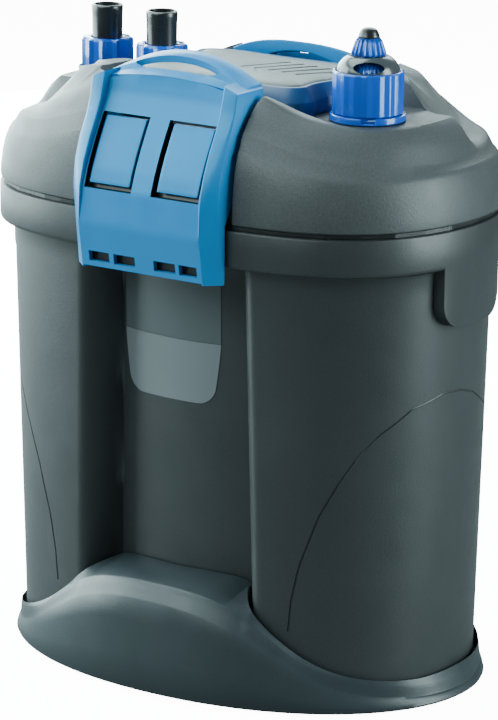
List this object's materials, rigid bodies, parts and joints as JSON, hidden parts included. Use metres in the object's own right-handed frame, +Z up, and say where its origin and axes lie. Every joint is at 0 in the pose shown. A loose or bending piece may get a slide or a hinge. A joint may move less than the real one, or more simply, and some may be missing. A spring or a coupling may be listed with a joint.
{
  "type": "canister filter",
  "caption": "Free-standing canister aquarium filter: lobed container on a wave-topped foot, clipped head with pump, priming plate, built-in heater with dial, and hose nozzles.",
  "frame": {"origin": "middle of the foot's bounding box, on the surface the pads stand on", "axes": "+X along the long side, heater end; +Y to the rear; +Z up"},
  "size_m": [0.2852, 0.207, 0.3594],
  "materials": {
    "grey_plastic": "satin",
    "slate_plastic": "satin",
    "blue_plastic": "satin",
    "black_plastic": "satin",
    "black_rubber": "matte",
    "basket_plastic": "satin",
    "foam_blue": "matte",
    "foam_orange": "matte",
    "foam_white": "matte",
    "ceramic": "matte",
    "stainless_steel": "satin",
    "heater_glass": "gloss",
    "magnet": "matte"
  },
  "bodies": {
    "container_body": {"base_foot": "slate_plastic", "foot_pad_front_left": "black_rubber", "foot_pad_front_right": "black_rubber", "foot_pad_rear_left": "black_rubber", "foot_pad_rear_right": "black_rubber", "container": "grey_plastic", "media_basket_lower": "basket_plastic", "media_basket_upper": "basket_plastic", "foam_coarse": "foam_blue", "foam_medium": "foam_orange", "foam_fine": "foam_white", "ceramic_media": "ceramic"},
    "head": {"head_cover": "grey_plastic", "head_bottom_plate": "black_plastic", "rim_seal": "black_rubber", "motor_housing": "black_plastic", "impeller_cover": "black_plastic", "motor_screw_1": "stainless_steel", "motor_screw_2": "stainless_steel", "motor_screw_3": "stainless_steel", "motor_screw_4": "stainless_steel", "inlet_socket": "black_plastic", "outlet_socket": "black_plastic", "inlet_nozzle": "black_plastic", "outlet_nozzle": "black_plastic", "inlet_o_ring": "black_rubber", "outlet_o_ring": "black_rubber", "intake_tube": "black_plastic", "cable_gland": "black_rubber", "button_surround": "blue_plastic", "button_spring": "stainless_steel", "heater_flange": "blue_plastic", "heater_cone": "grey_plastic", "heater_glass_tube": "heater_glass", "heater_core": "ceramic", "heater_guard": "black_plastic", "clip_front_pin": "stainless_steel", "clip_rear_pin": "stainless_steel"},
    "priming_button": {"priming_plate": "grey_plastic"},
    "clip_front": {"clip_front_frame": "blue_plastic", "clip_front_panel_left": "blue_plastic", "clip_front_panel_right": "blue_plastic", "clip_front_backing": "black_plastic"},
    "clip_rear": {"clip_rear_frame": "blue_plastic", "clip_rear_panel_left": "blue_plastic", "clip_rear_panel_right": "blue_plastic", "clip_rear_backing": "black_plastic"},
    "inlet_nut": {"union_nut_inlet": "blue_plastic"},
    "outlet_nut": {"union_nut_outlet": "blue_plastic"},
    "heater_ring": {"heater_nut": "blue_plastic"},
    "heater_adjuster": {"heater_knob": "blue_plastic", "heater_dial": "blue_plastic", "heater_tip": "black_plastic"},
    "pump_rotor": {"impeller": "blue_plastic", "rotor_magnet": "magnet", "rotor_shaft": "stainless_steel"}
  },
  "joints": [
    {"name": "head_lift", "type": "slide", "parent": "container_body", "child": "head", "axis": [0, 0, 1], "range_m": [0, 0.25]},
    {"name": "clip_front_swing", "type": "hinge", "parent": "head", "child": "clip_front", "pos_m": [0, -0.069, 0.314], "axis": [-1, 0, 0], "range_deg": [0, 30]},
    {"name": "clip_rear_swing", "type": "hinge", "parent": "head", "child": "clip_rear", "pos_m": [0, 0.069, 0.314], "axis": [1, 0, 0], "range_deg": [0, 16]},
    {"name": "priming_press", "type": "slide", "parent": "head", "child": "priming_button", "axis": [0, 0, -1], "range_m": [0, 0.006], "stiffness_N_per_m": 900, "springref_m": -0.003, "deforming": ["button_spring"]},
    {"name": "inlet_nut_turn", "type": "hinge", "parent": "head", "child": "inlet_nut", "pos_m": [-0.1117, 0.022, 0.32], "axis": [0, 0, 1], "continuous": true},
    {"name": "outlet_nut_turn", "type": "hinge", "parent": "head", "child": "outlet_nut", "pos_m": [-0.0747, 0.022, 0.32], "axis": [0, 0, 1], "continuous": true},
    {"name": "heater_nut_turn", "type": "hinge", "parent": "head", "child": "heater_ring", "pos_m": [0.0865, -0.02, 0.326], "axis": [0, 0, 1], "continuous": true},
    {"name": "heater_knob_turn", "type": "hinge", "parent": "head", "child": "heater_adjuster", "pos_m": [0.0865, -0.02, 0.346], "axis": [0, 0, 1], "range_deg": [0, 300]},
    {"name": "impeller_spin", "type": "hinge", "parent": "head", "child": "pump_rotor", "pos_m": [-0.016, 0, 0.2], "axis": [0, 0, 1], "continuous": true}
  ]
}
